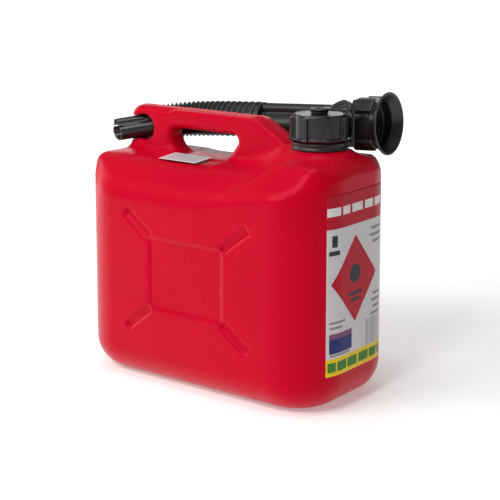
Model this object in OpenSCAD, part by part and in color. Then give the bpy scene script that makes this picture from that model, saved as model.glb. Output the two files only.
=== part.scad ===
// Five-litre jerry can with a stowed flexible pouring spout.
// Origin: centre of the underside. +X: neck end, +Z: up.

/* [Tank] */
// Length of the tank along X
tank_length = 270; // [262:1:278]
// Depth of the tank along Y
tank_depth = 140; // [136:1:146]
// Height of the top of the tank under the handle
top_height = 204; // [202:0.5:206]
// Thickness of the moulded wall
wall = 1.8; // [1.4:0.1:2.4]
// Radius of the upright corners, seen from above
corner_r = 48; // [44:1:50]
// Radius of the rounding round the underside
foot_r = 29; // [24:1:30]

/* [Handle] */
// Thickness of the handle along Y
handle_depth = 23; // [22:0.5:25]
// Height of the handle's flat top
handle_height = 243.8; // [243.4:0.2:244.6]

/* [Neck and cap] */
// Distance of the neck's axis from the middle of the can
neck_x = 92.4; // [90:0.2:94]
// Outer radius of the neck under its thread
neck_r = 18.4; // [18.2:0.1:18.6]
// Height of the neck's rim
rim_height = 247.4; // [247:0.1:247.8]
// Rise of the thread in one turn
pitch = 4; // [3.6:0.2:4]
// Outer radius of the cap between its lugs
cap_r = 22.9; // [22.6:0.1:23.2]
// Number of finger lugs round the cap
cap_lugs = 8; // [6:1:12]
// Direction of the cap strap, seen from above
strap_angle = 40; // [34:1:42]

/* [Spout] */
// Outer radius of the bellows at its crests
bellows_r = 16.4; // [16:0.1:16.6]
// Number of bellows crests
bellows_crests = 20; // [16:1:22]
// Radius of the passage through the handle's pillar
passage_r = 11.6; // [11.5:0.1:12]
// Largest radius of the spout nut's skirt
skirt_r = 27.4; // [26.5:0.1:27.6]

/* [Hidden] */

$fn = 64;
RED = [0.80, 0.02, 0.13];
BLACK = [0.11, 0.10, 0.10];
RUBBER = [0.06, 0.06, 0.06];

half_l = tank_length / 2;
half_d = tank_depth / 2;
arc_steps = 8;
probe = 60;            // a length that clears any wall it cuts

// The can is one moulding, made here as five nodes that meet at these cuts
base_cut = foot_r;
side_z = 178;
neck_cut = 54;

// Shoulder lines of the tank: the flat crown, then the edge of the top
crown_y = 12;
top_edge_y = half_d - 26;
top_edge_z = top_height - 2.6;

// Raised block that carries the neck
block_z = 213.5;
block_side_z = 180;
block_edge_y = half_d - 24;
block_x = 58;
block_ramp_x = 82;

// Neck, thread and cap
cone_z = 221.5;
thread_depth = 1.5;
thread_z = 236;
thread_turns = 1.5;
thread_base = 1.7;
thread_crest = 0.8;
thread_gap = 0.5;
thread_steps = 12;     // arcs in one turn of the thread
thread_sink = 0.4;     // how far a ridge reaches into its wall
bore_r = neck_r + thread_depth + thread_gap;   // plain bore of the cap and the nut
neck_bore_r = neck_r - 2.5;
cap_low = 230.3;
cap_high = 251.5;
gasket_t = 1.9;
seal_gap = 0.1;
lug_r = 26;
lug_w = 4.6;
lug_start = 5;         // direction of the first lug

// Cap strap: the socket that snaps over the cap's stud, and the band
stud_r = 3.6;
stud_head_r = 4.9;
socket_low = cap_high + 0.3;
plate_low = cap_high + 3.1;
strap_t = 1.6;
strap_w = 10;
leg_r = 28.7;
ring_low = cone_z + 0.3;
ring_high = 228.4;
ring_r = 25.4;

// Spout: the nozzle lies on the line from nozzle_end along nozzle_dir
nozzle_end = [-128, -22, 219];
nozzle_yaw = 40;
nozzle_rise = 9;
nozzle_length = 50;
barrel_start = [0.5, 41.1, 233.4];
nut_rim = [131, 51, 240];
nozzle_dir = [
    cos(nozzle_rise) * cos(nozzle_yaw),
    cos(nozzle_rise) * sin(nozzle_yaw),
    sin(nozzle_rise)
];
bellows_start = nozzle_end + nozzle_length * nozzle_dir;
barrel_dir = (nut_rim - barrel_start) / norm(nut_rim - barrel_start);
barrel_length = norm(nut_rim - barrel_start);
barrel_yaw = atan2(barrel_dir.y, barrel_dir.x);
barrel_rise = asin(barrel_dir.z);
rear_bend = 24;        // how far the nozzle's direction reaches into the bend
front_bend = 50;       // the same for the barrel's direction
bellows_bore_r = 13.2;
seat_gap = 1.6;        // between the bellows and its seat in the handle
seat_steps = 5;
nut_length = 34;

// ---------- helpers ----------

function arc(centre, r, from, to, steps = arc_steps) =
    [for (i = [0:steps]) let (a = from + (to - from) * i / steps) centre + r * [cos(a), sin(a)]];

function mirrored(points) =
    [for (i = [len(points) - 1:-1:0]) [-points[i].x, points[i].y]];

function unit(v) = v / norm(v);

// Point and direction on the curved centreline of the bellows, t from 0 to 1
function bend_point(t) =
    let (a = bellows_start, b = a + rear_bend * nozzle_dir, d = barrel_start, c = d - front_bend * barrel_dir)
    pow(1 - t, 3) * a + 3 * pow(1 - t, 2) * t * b + 3 * (1 - t) * t * t * c + pow(t, 3) * d;

function bend_dir(t) =
    let (a = bellows_start, b = a + rear_bend * nozzle_dir, d = barrel_start, c = d - front_bend * barrel_dir)
    unit(pow(1 - t, 2) * (b - a) + 2 * (1 - t) * t * (c - b) + t * t * (d - c));

// A ring of points round the bend, raised above its centreline by lift
function bend_ring(t, r, sides, lift = 0) =
    let (
        forward = bend_dir(t),
        side = unit(cross(forward, [0, 0, 1])),
        up = cross(side, forward)
    )
    [for (i = [0:sides - 1]) let (a = 360 * i / sides)
        bend_point(t) + up * (lift + r * sin(a)) + side * r * cos(a)];

// Faces of a swept tube: the walls between rings, and the two flat ends
function wall_faces(rings, sides, base = 0, flip = false) =
    [for (k = [0:rings - 2], i = [0:sides - 1])
        let (a = base + k * sides + i, b = base + k * sides + (i + 1) % sides)
        flip ? [a, b, b + sides, a + sides] : [a, a + sides, b + sides, b]];

module along(start, yaw, rise) {
    translate(start)
        rotate([0, 0, yaw])
            rotate([0, 90 - rise, 0])
                rotate([0, 0, 90])
                    children();
}

module nozzle_frame() {
    along(nozzle_end, nozzle_yaw, nozzle_rise) children();
}

module barrel_frame() {
    along(barrel_start, barrel_yaw, barrel_rise) children();
}

module at_neck() {
    translate([neck_x, 0, 0]) children();
}

// A thread ridge on a wall, made of short arcs that climb like a helix. The crest may be inside
// or outside the wall.
module thread_ridge(wall_r, crest_r, low, turns) {
    root_r = wall_r + (wall_r > crest_r ? thread_sink : -thread_sink);
    step_angle = 360 / thread_steps;
    for (k = [0:round(turns * thread_steps) - 1])
        translate([0, 0, low + pitch * k / thread_steps])
            rotate([0, 0, step_angle * k])
                rotate_extrude(angle = step_angle + 0.5)
                    polygon([
                        [root_r, -thread_base / 2], [crest_r, -thread_crest / 2],
                        [crest_r, thread_crest / 2], [root_r, thread_base / 2]
                    ]);
}

// ---------- can body ----------

// Outline seen from above, grown by g
function plan_outline(g) =
    let (r = corner_r + g, x = half_l - corner_r, y = half_d - corner_r)
    concat(
        arc([x, y], r, 0, 90), arc([-x, y], r, 90, 180),
        arc([-x, -y], r, 180, 270), arc([x, -y], r, 270, 360)
    );

// Right half of the cross-section of the tank, inset by g
function tank_half(g) = concat(
    arc([half_d - foot_r, foot_r], foot_r - g, -90, 0),
    [
        [half_d - g, side_z - g / 2],
        [top_edge_y, top_edge_z - g],
        [crown_y, top_height - g]
    ]
);

function block_half(g) = concat(
    arc([half_d - foot_r, foot_r], foot_r - g, -90, 0),
    [[half_d - g, block_side_z - g / 2]],
    arc([block_edge_y - 6, block_z - 9], 9 - g, 40, 90)
);

// Outline seen from the front, inset by g
function tank_side(g) = concat(
    arc([half_l - foot_r, foot_r], foot_r - g, -90, 0),
    [[half_l - g, top_height + probe]],
    [[-half_l + 24, top_height + probe]],
    arc([-half_l + 24, top_height - 24], 24 - g, 90, 180),
    arc([-half_l + foot_r, foot_r], foot_r - g, 180, 270)
);

function block_side(g) = concat(
    [[block_x + g, 150], [half_l - g, 150]],
    arc([half_l - 9, block_z - 9], 9 - g, 0, 90),
    [[block_ramp_x + g / 2, block_z - g], [block_x + g, top_height - 6]]
);

module across_x(outline_half) {
    translate([-half_l, 0, 0])
        rotate([90, 0, 90])
            linear_extrude(tank_length)
                polygon(concat(outline_half, mirrored(outline_half)));
}

module across_y(depth) {
    translate([0, depth / 2, 0])
        rotate([90, 0, 0])
            linear_extrude(depth)
                children();
}

module tank_shape(g) {
    intersection() {
        translate([0, 0, g]) linear_extrude(probe * 4) polygon(plan_outline(-g));
        across_x(tank_half(g));
        across_y(tank_depth) polygon(tank_side(g));
    }
}

module block_shape(g) {
    intersection() {
        linear_extrude(probe * 4) polygon(plan_outline(-g));
        across_x(block_half(g));
        across_y(tank_depth) polygon(block_side(g));
    }
}

function handle_outline(g) = concat(
    [[-120 + g, top_height - 14]],
    arc([-102, handle_height - 18], 18 - g, 180, 90),
    arc([26, handle_height - 20], 20 - g, 90, 60),
    [[62 - g * 0.5, 226.3 - g], [66 - g, cone_z - g], [66 - g, top_height - 14]]
);

// Finger gap between the pillar, the grip and the front leg, grown by g
function gap_outline(g) = concat(
    arc([-48, 220], 18 + g, 270, 190),
    arc([-59, 218.9], 7 + g, 180, 90),
    arc([5.6, 220.5], 5.4 + g, 90, -20),
    arc([-6, 210.5], 9 + g, -20, -60)
);

// Handle seen from above: a bar with a rounded rear end
function handle_plan(g) =
    let (r = handle_depth / 2 - g)
    concat(arc([-120 + handle_depth / 2, 0], r, 90, 270), [[67, -r], [67, r]]);

module handle_shape(g) {
    intersection() {
        translate([0, 0, top_height - 20]) linear_extrude(probe) polygon(handle_plan(g));
        across_y(handle_depth + 2) difference() {
            polygon(handle_outline(g));
            polygon(gap_outline(g));
        }
    }
}

// The passage for the nozzle: a slanted bore, a hole straight through the pillar that widens it,
// a seat for the bellows that follows its bend, and a notch in the handle's top above the seat
module spout_passage(g) {
    nozzle_frame() {
        translate([0, 0, -20]) cylinder(r = passage_r + g, h = nozzle_length + probe);
        translate([0, 0, nozzle_length - collar_t - 0.3 - g])
            cylinder(r = bellows_r + seat_gap + g, h = 18);
    }
    for (i = [1:seat_steps]) {
        t = i / seat_steps / 2;
        d = bend_dir(t);
        along(bend_point(t), atan2(d.y, d.x), asin(d.z))
            translate([0, 0, -2])
                cylinder(r = bellows_r + seat_gap + g, h = 18);
    }
    translate([-84, 14, 230]) cylinder(r = 12 + g, h = probe);
    translate([-98.5, probe / 2, 223.6]) rotate([90, 0, 0]) cylinder(r = passage_r + 0.8 + g, h = probe);
}

module neck_cone() {
    at_neck() {
        translate([0, 0, block_z - 1]) cylinder(r1 = 38, r2 = 27, h = cone_z - block_z + 1);
        translate([0, 0, block_z]) cylinder(r = neck_r, h = rim_height - block_z);
    }
}

// Everything inside the moulding: its hollow, the neck's bore and the passage for the spout
module can_hollow() {
    difference() {
        union() {
            tank_shape(wall);
            block_shape(wall);
            handle_shape(wall);
        }
        spout_passage(wall);
    }
    at_neck() translate([0, 0, block_z - probe / 2]) cylinder(r = neck_bore_r, h = probe * 2);
    spout_passage(0);
}

// What lies between two heights, and between two distances along X
module between(low, high, from = -half_l - probe, to = half_l + probe) {
    intersection() {
        children();
        translate([from, -tank_depth, low]) cube([to - from, 2 * tank_depth, high - low]);
    }
}

module can_base() {
    color(RED) between(-1, base_cut) difference() {
        tank_shape(0);
        tank_shape(wall);
    }
}

module can_walls() {
    color(RED) between(base_cut, side_z) difference() {
        tank_shape(0);
        tank_shape(wall);
    }
}

module can_shoulders() {
    color(RED) difference() {
        between(side_z, rim_height, to = neck_cut) tank_shape(0);
        can_hollow();
    }
}

module can_handle() {
    color(RED) difference() {
        between(side_z, rim_height, to = neck_cut) handle_shape(0);
        tank_shape(0);
        can_hollow();
    }
}

module can_neck() {
    color(RED) {
        difference() {
            between(side_z, rim_height, from = neck_cut) {
                tank_shape(0);
                block_shape(0);
                handle_shape(0);
                neck_cone();
            }
            can_hollow();
        }
        at_neck() thread_ridge(neck_r, neck_r + thread_depth, thread_z, thread_turns);
    }
}

// ---------- cap ----------

module cap_lug(r, foot) {
    translate([cap_r - 1, -lug_w / 2, cap_low]) cube([r - cap_r + 1, lug_w, cap_high - cap_low - 2]);
    translate([cap_r - 1, -lug_w / 2, cap_low]) cube([foot - cap_r + 1, lug_w, 1.4]);
}

module screw_cap() {
    color(BLACK) at_neck() {
        difference() {
            union() {
                rotate_extrude() polygon([
                    [0, cap_low], [cap_r + 1.4, cap_low], [cap_r + 1.4, cap_low + 1.4],
                    [cap_r, cap_low + 2.2], [cap_r, cap_high - 1.2],
                    [cap_r - 1.2, cap_high], [0, cap_high]
                ]);
                for (i = [0:cap_lugs - 1])
                    rotate([0, 0, lug_start + 360 * i / cap_lugs]) cap_lug(lug_r, lug_r + 0.9);
            }
            translate([0, 0, cap_low - 1])
                cylinder(r = bore_r, h = rim_height + gasket_t + 3 * seal_gap - cap_low + 1);
        }
        thread_ridge(bore_r, neck_r + thread_gap, thread_z - pitch / 2 + 0.4, thread_turns);
        translate([0, 0, cap_high - 0.5]) cylinder(r = stud_r, h = 2);
        translate([0, 0, cap_high + 1.4]) cylinder(r1 = stud_head_r, r2 = stud_head_r - 0.7, h = 1.1);
    }
}

module cap_gasket() {
    color(RUBBER) at_neck() translate([0, 0, rim_height + seal_gap]) cylinder(r = bore_r - 0.5, h = gasket_t);
}

// ---------- strap ----------

module tether_ring() {
    color(BLACK) at_neck() {
        difference() {
            union() {
                translate([0, 0, ring_low]) cylinder(r = ring_r, h = ring_high - ring_low);
                rotate([0, 0, strap_angle])
                    translate([ring_r - 2, -strap_w / 2, ring_low + 1])
                        cube([leg_r + strap_t / 2 - ring_r + 2, strap_w, ring_high - ring_low - 1]);
            }
            translate([0, 0, ring_low - 1]) cylinder(r = neck_r + 0.6, h = 20);
        }
    }
}

// Side view of the band: distance from the neck's axis against height
strap_path = [
    [7, plate_low + strap_t / 2], [12, 256], [16, 258], [20, 260.4], [23.5, 261.8],
    [26, 261.6], [28, 259.8], [leg_r, 256.5], [leg_r, ring_high + 0.8]
];

function path_dir(path, i) =
    unit(path[min(i + 1, len(path) - 1)] - path[max(i - 1, 0)]);

function beside(path, d) =
    [for (i = [0:len(path) - 1]) let (v = path_dir(path, i)) path[i] + d * [-v.y, v.x]];

function backwards(points) = [for (i = [len(points) - 1:-1:0]) points[i]];

module cap_strap() {
    socket_r = 7.4;
    plate_r = 8.3;
    color(BLACK) at_neck() {
        difference() {
            union() {
                translate([0, 0, socket_low]) cylinder(r = socket_r, h = plate_low - socket_low);
                translate([0, 0, plate_low]) cylinder(r = plate_r, h = strap_t);
                rotate([0, 0, strap_angle])
                    translate([0, strap_w / 2, 0])
                        rotate([90, 0, 0])
                            linear_extrude(strap_w)
                                polygon(concat(
                                    beside(strap_path, strap_t / 2),
                                    backwards(beside(strap_path, -strap_t / 2))
                                ));
            }
            translate([0, 0, socket_low - 1]) cylinder(r = stud_r + 0.5, h = 8);
            translate([0, 0, cap_high + 1]) cylinder(r = stud_head_r + 0.4, h = 1.9);
        }
    }
}

// ---------- spout ----------

// Two joined lobes: the pouring tube below and the vent above
module two_lobes(main_r, main_y, vent_r, vent_y) {
    translate([0, main_y]) circle(r = main_r);
    translate([0, vent_y]) circle(r = vent_r);
    translate([-vent_r * 0.8, main_y]) square([vent_r * 1.6, vent_y - main_y]);
}

module two_bores(main_r, main_y, vent_r, vent_y, h) {
    translate([0, main_y, 0]) cylinder(r = main_r, h = h);
    translate([0, vent_y, 0]) cylinder(r = vent_r, h = h);
}

nozzle_main_r = 8.3;
nozzle_main_y = -2.3;
nozzle_vent_r = 4;
nozzle_vent_y = 6.3;
mouth_slant = 28;      // the nozzle's mouth is cut at a slant
slot_l = 11;           // slot between the two lobes, from the tip
barrel_main_r = 11.5;
barrel_main_y = -4;
barrel_vent_r = 5;
barrel_vent_y = 10.4;
tube_wall = 1.4;
collar_r = 15.8;
collar_t = 2;
spigot_r = 12.7;
spigot_l = 6;

module spout_nozzle() {
    color(BLACK) nozzle_frame() difference() {
        union() {
            linear_extrude(nozzle_length)
                two_lobes(nozzle_main_r, nozzle_main_y, nozzle_vent_r, nozzle_vent_y);
            translate([0, 0, nozzle_length - collar_t]) cylinder(r = collar_r, h = collar_t);
            translate([0, 0, nozzle_length - 0.5]) cylinder(r = spigot_r, h = spigot_l + 0.5);
        }
        translate([0, 0, -1])
            two_bores(
                nozzle_main_r - tube_wall, nozzle_main_y,
                nozzle_vent_r - 1.1, nozzle_vent_y, nozzle_length + spigot_l + 2
            );
        translate([nozzle_main_r, 0, 0])
            rotate([0, mouth_slant, 0])
                translate([-40, -20, -20])
                    cube([60, 40, 20]);
        translate([-10, 2.6, -1]) cube([20, 1, slot_l + 1]);
    }
}

module spout_bellows() {
    sides = 16;
    root_r = bellows_r - 2.2;
    outer = 2 * bellows_crests + 1;
    inner = bellows_crests + 1;
    points = concat(
        [for (k = [0:outer - 1]) each bend_ring(k / (outer - 1), k % 2 == 0 ? root_r : bellows_r, sides)],
        [for (k = [0:inner - 1]) each bend_ring(k / (inner - 1), bellows_bore_r, sides)]
    );
    inside = outer * sides;
    last_out = (outer - 1) * sides;
    last_in = inside + (inner - 1) * sides;
    faces = concat(
        wall_faces(outer, sides),
        wall_faces(inner, sides, inside, true),
        [for (i = [0:sides - 1]) let (j = (i + 1) % sides) [i, j, inside + j, inside + i]],
        [for (i = [0:sides - 1]) let (j = (i + 1) % sides)
            [last_out + i, last_in + i, last_in + j, last_out + j]]
    );
    color(BLACK) polyhedron(points, faces, convexity = 10);
}

module spout_barrel() {
    collar_end = barrel_length - nut_length;
    neck_end = barrel_length - 22;
    color(BLACK) barrel_frame() difference() {
        union() {
            cylinder(r = collar_r, h = collar_t * 2);
            translate([0, 0, -spigot_l]) cylinder(r = spigot_r, h = spigot_l + 0.5);
            linear_extrude(collar_end + 2)
                two_lobes(barrel_main_r, barrel_main_y, barrel_vent_r, barrel_vent_y);
            translate([0, 0, collar_end - 3]) cylinder(r = collar_r, h = neck_end - collar_end + 3);
            translate([0, 0, neck_end - 0.5]) cylinder(r = neck_r + 0.2, h = 3);
        }
        translate([0, 0, -spigot_l - 1])
            two_bores(
                barrel_main_r - tube_wall, barrel_main_y,
                barrel_vent_r - tube_wall - 0.2, barrel_vent_y - 1.4, barrel_length + spigot_l
            );
    }
}

// Thin breather hose inside the bellows, from the nozzle's vent to the barrel's vent
module vent_tube() {
    sides = 8;
    rings = 12;
    tube_r = 2.3;
    bore = 1.4;
    lift = [for (k = [0:rings - 1]) let (t = k / (rings - 1))
        nozzle_vent_y + (barrel_vent_y - 1.4 - nozzle_vent_y) * t];
    points = concat(
        [for (k = [0:rings - 1]) each bend_ring(k / (rings - 1), tube_r, sides, lift[k])],
        [for (k = [0:rings - 1]) each bend_ring(k / (rings - 1), bore, sides, lift[k])]
    );
    inside = rings * sides;
    last_out = (rings - 1) * sides;
    last_in = inside + last_out;
    faces = concat(
        wall_faces(rings, sides),
        wall_faces(rings, sides, inside, true),
        [for (i = [0:sides - 1]) let (j = (i + 1) % sides) [i, j, inside + j, inside + i]],
        [for (i = [0:sides - 1]) let (j = (i + 1) % sides)
            [last_out + i, last_in + i, last_in + j, last_out + j]]
    );
    color(BLACK) polyhedron(points, faces, convexity = 10);
}

module spout_nut() {
    body_r = 22.4;
    shoulder = barrel_length - nut_length;
    hole_r = collar_r + 0.4;
    face = barrel_length - 22;
    color(BLACK) barrel_frame() {
        difference() {
            union() {
                translate([0, 0, shoulder]) cylinder(r1 = collar_r + 2, r2 = body_r, h = 7);
                translate([0, 0, shoulder + 6.9]) cylinder(r = body_r, h = nut_length - 9);
                translate([0, 0, barrel_length - 10]) cylinder(r1 = body_r, r2 = skirt_r, h = 7);
                translate([0, 0, barrel_length - 3.1]) cylinder(r = skirt_r, h = 3.1);
                for (i = [0:3]) rotate([0, 0, 45 + 90 * i])
                    translate([body_r - 2, -6, shoulder + 7]) cube([25.8 - body_r + 2, 12, nut_length - 14]);
            }
            translate([0, 0, shoulder - 1]) cylinder(r = hole_r, h = nut_length + 2);
            translate([0, 0, face - 0.8]) cylinder(r = bore_r, h = nut_length);
            translate([0, 0, barrel_length - 6]) cylinder(r1 = bore_r, r2 = skirt_r - 1.6, h = 6.1);
        }
        thread_ridge(bore_r, neck_r + thread_gap, barrel_length - 15, thread_turns);
    }
}

module spout_gasket() {
    color(RUBBER) barrel_frame() translate([0, 0, barrel_length - 22 + 2.5]) difference() {
        cylinder(r = neck_r, h = 1.8);
        translate([0, 0, -1]) cylinder(r = 15.4, h = 4);
    }
}

// ---------- labels ----------

label_low = 34;
label_high = 191;
label_t = 0.2;

module end_label() {
    color("white") difference() {
        translate([0, 0, label_low]) linear_extrude(label_high - label_low) difference() {
            polygon(plan_outline(label_t));
            polygon(plan_outline(0));
            translate([-half_l - 5, -half_d - 5]) square([tank_length, tank_depth + 10]);
            for (side = [-1, 1]) translate([0, side * (half_d - 28)]) translate([0, side > 0 ? 0 : -probe])
                square([half_l * 2, probe]);
        }
    }
}

// The sticker lies on the slope between the crown and the top's edge
module top_sticker() {
    fall = atan2(top_height - top_edge_z, top_edge_y - crown_y);
    color("silver") translate([-58, -crown_y, top_height])
        rotate([fall, 0, 0])
            translate([0, -25, 0])
                cube([43, 24, label_t]);
}

can_base();
can_walls();
can_shoulders();
can_handle();
can_neck();
screw_cap();
cap_gasket();
tether_ring();
cap_strap();
spout_nozzle();
spout_bellows();
spout_barrel();
vent_tube();
spout_nut();
spout_gasket();
end_label();
top_sticker();
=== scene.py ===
import math

import bpy
import numpy as np
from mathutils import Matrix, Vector


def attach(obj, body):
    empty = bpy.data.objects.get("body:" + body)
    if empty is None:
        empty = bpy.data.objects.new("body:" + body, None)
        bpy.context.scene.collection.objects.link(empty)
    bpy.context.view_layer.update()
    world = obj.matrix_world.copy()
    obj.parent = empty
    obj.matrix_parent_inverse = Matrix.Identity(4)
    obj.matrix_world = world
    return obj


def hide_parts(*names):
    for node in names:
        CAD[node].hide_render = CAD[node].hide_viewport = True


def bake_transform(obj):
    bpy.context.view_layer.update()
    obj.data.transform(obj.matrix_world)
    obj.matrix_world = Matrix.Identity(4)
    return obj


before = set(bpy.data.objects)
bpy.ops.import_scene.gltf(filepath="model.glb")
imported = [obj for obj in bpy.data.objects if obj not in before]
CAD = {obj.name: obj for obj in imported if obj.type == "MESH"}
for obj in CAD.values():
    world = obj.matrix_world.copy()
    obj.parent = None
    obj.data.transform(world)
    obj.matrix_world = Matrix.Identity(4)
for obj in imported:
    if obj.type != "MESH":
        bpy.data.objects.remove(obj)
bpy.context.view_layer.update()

MM = 0.001
TINY = 1e-12
TURN = 2 * math.pi
CAN_NODES = [n for n in CAD if n.startswith("can_")]
SCENE = bpy.context.scene

# ---------------------------------------------------------------- camera

CAMERA_PLACE = (0.7375, -0.9429, 0.4144)
CAMERA_DOWN, CAMERA_YAW = 13.907, 37.3455
CAMERA_LENS, CAMERA_SENSOR, CAMERA_REACH = 97.08, 36.0, 20

cam_data = bpy.data.cameras.new("camera")
cam_data.lens = CAMERA_LENS
cam_data.sensor_width = CAMERA_SENSOR
cam_data.clip_end = CAMERA_REACH
camera = bpy.data.objects.new("camera", cam_data)
camera.location = CAMERA_PLACE
camera.rotation_euler = (math.radians(90 - CAMERA_DOWN), 0, math.radians(CAMERA_YAW))
SCENE.collection.objects.link(camera)
SCENE.camera = camera

# ---------------------------------------------------------------- distance functions, in mm


def meet(a, b, r):
    """Where two shapes overlap, with an edge of radius r."""
    return np.minimum(np.maximum(a, b), -r) + np.hypot(np.maximum(a + r, 0), np.maximum(b + r, 0))


def join(a, b, r):
    """Two shapes together, with a fillet of radius r."""
    return np.maximum(np.minimum(a, b), r) - np.hypot(np.maximum(r - a, 0), np.maximum(r - b, 0))


def cut(a, b, r):
    """Shape a without shape b, with an edge of radius r."""
    return meet(a, -b, r)


def step_up(v, low, high):
    """0 below low, 1 above high, and smooth between them."""
    t = np.clip((v - low) / (high - low), 0, 1)
    return t * t * (3 - 2 * t)


def slab(v, low, high):
    """The layer between low and high."""
    return np.maximum(low - v, v - high)


def box_round(u, v, hu, hv, r):
    """Rectangle of half sizes hu and hv with corners of radius r."""
    qu, qv = np.abs(u) - hu + r, np.abs(v) - hv + r
    return np.hypot(np.maximum(qu, 0), np.maximum(qv, 0)) + np.minimum(np.maximum(qu, qv), 0) - r


def segment_square(p, a, b):
    """Squared distance from the segment a to b. p has one array of coordinates for each axis."""
    e = [end - start for start, end in zip(a, b)]
    w = [axis - start for axis, start in zip(p, a)]
    t = np.clip(sum(wi * ei for wi, ei in zip(w, e)) / max(sum(ei * ei for ei in e), TINY), 0, 1)
    return sum((wi - t * ei) ** 2 for wi, ei in zip(w, e))


def line_distance(points, *p):
    """Distance to the open line through the points."""
    return np.sqrt(np.minimum.reduce([segment_square(p, a, b) for a, b in zip(points, points[1:])]))


def polygon(points, u, v):
    """Signed distance to a closed polygon."""
    loop = points + points[:1]
    crossings = []
    for (ax, ay), (bx, by) in zip(loop, loop[1:]):
        rise = by - ay if abs(by - ay) > TINY else TINY
        crossings.append(((ay > v) != (by > v)) & (u < (bx - ax) * (v - ay) / rise + ax))
    return line_distance(loop, u, v) * np.where(np.logical_xor.reduce(crossings), -1, 1)


def arc(cx, cy, r, a0, a1, n):
    """Points of an arc from the angle a0 to the angle a1, in degrees."""
    angles = [math.radians(a0 + (a1 - a0) * i / n) for i in range(n + 1)]
    return [(cx + r * math.cos(a), cy + r * math.sin(a)) for a in angles]


PITCH = 4.0
RIDGE_TIP, RIDGE_GROWTH, RIDGE_REACH = 0.45, 0.42, 1.3  # half width at the crest, what it gains to the wall


def thread(rad, ang, z, wall, crest, low, turns):
    """Helical ridge between the radii wall and crest, above the height low."""
    k = np.clip(np.round((z - low) / PITCH - ang / TURN), 0, turns)
    over = np.abs(z - low - PITCH * (ang / TURN + k))
    half = RIDGE_TIP + RIDGE_GROWTH * np.clip((crest - rad) / (crest - wall), 0, RIDGE_REACH)
    side = np.abs(rad - (wall + crest) / 2) - abs(crest - wall) / 2
    end = np.maximum(low - z + 0.2, z - low - PITCH * turns)
    return np.maximum(np.maximum(over - half, side), end)


# ---------------------------------------------------------------- meshes

GRADIENT_STEP = 0.04
SLICE = 24  # grid layers that are worked out at a time


def show(name, mesh):
    obj = bpy.data.objects.new(name, mesh)
    SCENE.collection.objects.link(obj)
    return obj


def make_object(name, verts, faces, smooth=True):
    mesh = bpy.data.meshes.new(name)
    mesh.from_pydata([tuple(v) for v in verts], [], [tuple(int(i) for i in f) for f in faces])
    mesh.validate()
    if smooth:
        mesh.shade_smooth()
    return show(name, mesh)


def quads_object(name, verts, quads):
    """The same for many quads at once."""
    mesh = bpy.data.meshes.new(name)
    mesh.vertices.add(len(verts))
    mesh.vertices.foreach_set("co", np.asarray(verts, np.float32).ravel())
    mesh.loops.add(4 * len(quads))
    mesh.loops.foreach_set("vertex_index", np.asarray(quads, np.int32).ravel())
    mesh.polygons.add(len(quads))
    mesh.polygons.foreach_set("loop_start", np.arange(0, 4 * len(quads), 4, dtype=np.int32))
    mesh.update(calc_edges=True)
    mesh.validate()
    mesh.shade_smooth()
    return show(name, mesh)


def value_at(f, p):
    return f(p[:, 0], p[:, 1], p[:, 2])


def gradient(f, p):
    g = np.empty_like(p)
    for a in range(3):
        d = np.zeros(3)
        d[a] = GRADIENT_STEP
        g[:, a] = (value_at(f, p + d) - value_at(f, p - d)) / (2 * GRADIENT_STEP)
    return g


def normals(f, p):
    g = gradient(f, p)
    return g / np.maximum(np.linalg.norm(g, axis=1), 1e-9)[:, None]


def settle(f, p, most, rounds=3):
    """Moves points onto the surface f = 0, by at most this much in each round."""
    for _ in range(rounds):
        g = gradient(f, p)
        move = -(value_at(f, p) / np.maximum((g * g).sum(1), 0.05))[:, None] * g
        far = np.linalg.norm(move, axis=1)
        p = p + move * np.minimum(1, most / np.maximum(far, 1e-9))[:, None]
    return p


def sample(f, axes):
    """f on the whole grid."""
    grid = np.empty([len(a) for a in axes], np.float32)
    for i in range(0, len(axes[0]), SLICE):
        part = axes[0][i:i + SLICE][:, None, None]
        grid[i:i + SLICE] = f(part, axes[1][None, :, None], axes[2][None, None, :])
    return grid


def shifted(cells, *moves):
    """The cells moved along some axes. moves are (axis, count)."""
    out = cells.copy()
    for axis, count in moves:
        out[:, axis] += count
    return out


def surface_net(grid):
    """A point in each cell that the surface f = 0 crosses, and a quad over each grid edge that it crosses."""
    n = grid.shape
    inside = grid < 0
    corners = sum(inside[i:n[0] - 1 + i, j:n[1] - 1 + j, k:n[2] - 1 + k].astype(np.int8)
                  for i in (0, 1) for j in (0, 1) for k in (0, 1))
    active = (corners > 0) & (corners < 8)
    cells = np.argwhere(active)
    index = np.full(active.shape, -1, np.int64)
    index[active] = np.arange(len(cells))
    total, count = np.zeros((len(cells), 3)), np.zeros(len(cells))
    quads = []
    for a in range(3):
        b, c = (a + 1) % 3, (a + 2) % 3
        for ob in (0, 1):
            for oc in (0, 1):
                p0 = shifted(cells, (b, ob), (c, oc))
                v0, v1 = grid[tuple(p0.T)], grid[tuple(shifted(p0, (a, 1)).T)]
                hit = (v0 < 0) != (v1 < 0)
                pos = p0.astype(float)
                pos[:, a] += np.where(hit, v0 / np.where(hit, v0 - v1, 1), 0)
                total += pos * hit[:, None]
                count += hit
        first, second = [slice(None)] * 3, [slice(None)] * 3
        first[a], second[a] = slice(0, n[a] - 1), slice(1, n[a])
        edges = np.argwhere(inside[tuple(first)] != inside[tuple(second)])
        clear = (edges[:, b] > 0) & (edges[:, c] > 0) & (edges[:, b] < n[b] - 1) & (edges[:, c] < n[c] - 1)
        edges = edges[clear]
        round_edge = ((-1, -1), (0, -1), (0, 0), (-1, 0))
        q = np.stack([index[tuple(shifted(edges, (b, ob), (c, oc)).T)] for ob, oc in round_edge], 1)
        turn = ~inside[tuple(edges.T)]
        q[turn] = q[turn][:, ::-1]
        quads.append(q)
    return total / count[:, None], np.concatenate(quads)


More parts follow.
